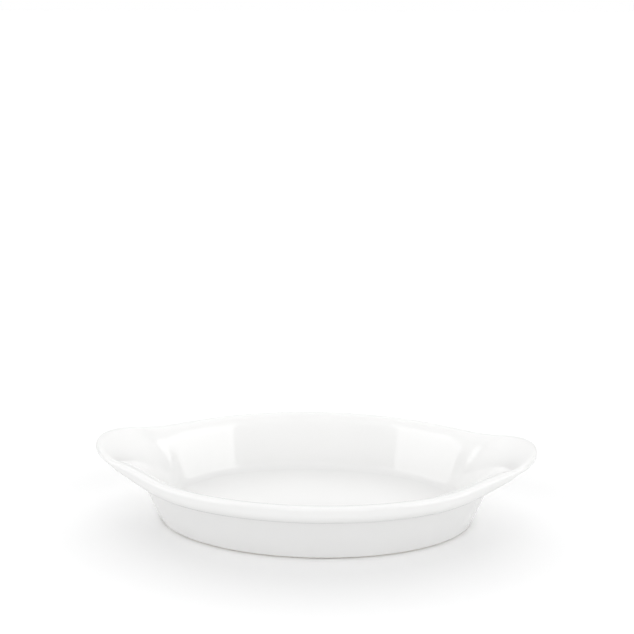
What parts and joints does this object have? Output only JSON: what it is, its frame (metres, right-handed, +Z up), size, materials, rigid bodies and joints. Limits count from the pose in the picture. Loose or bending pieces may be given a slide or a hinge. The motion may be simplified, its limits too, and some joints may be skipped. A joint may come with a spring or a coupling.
{
  "type": "gratin dish",
  "caption": "Oval oven-to-table dish with a leaning wall, a thick rolled rim band and a broad upswept ear at each end, in white glazed ceramic on a bare foot ring.",
  "frame": {"origin": "centre of the dish on the plane it stands on", "axes": "+X from ear to ear, +Y across the dish, +Z up through the open top"},
  "size_m": [0.228, 0.126, 0.0408],
  "materials": {
    "fired_clay": "bare fired clay, wiped and ground flat where the dish stands",
    "white_glaze": "glossy white transparent-to-opaque glaze, even coat"
  },
  "bodies": {
    "root": {"fired_clay_body": "fired_clay", "bowl_glaze": "white_glaze", "underside_glaze": "white_glaze"}
  },
  "joints": []
}
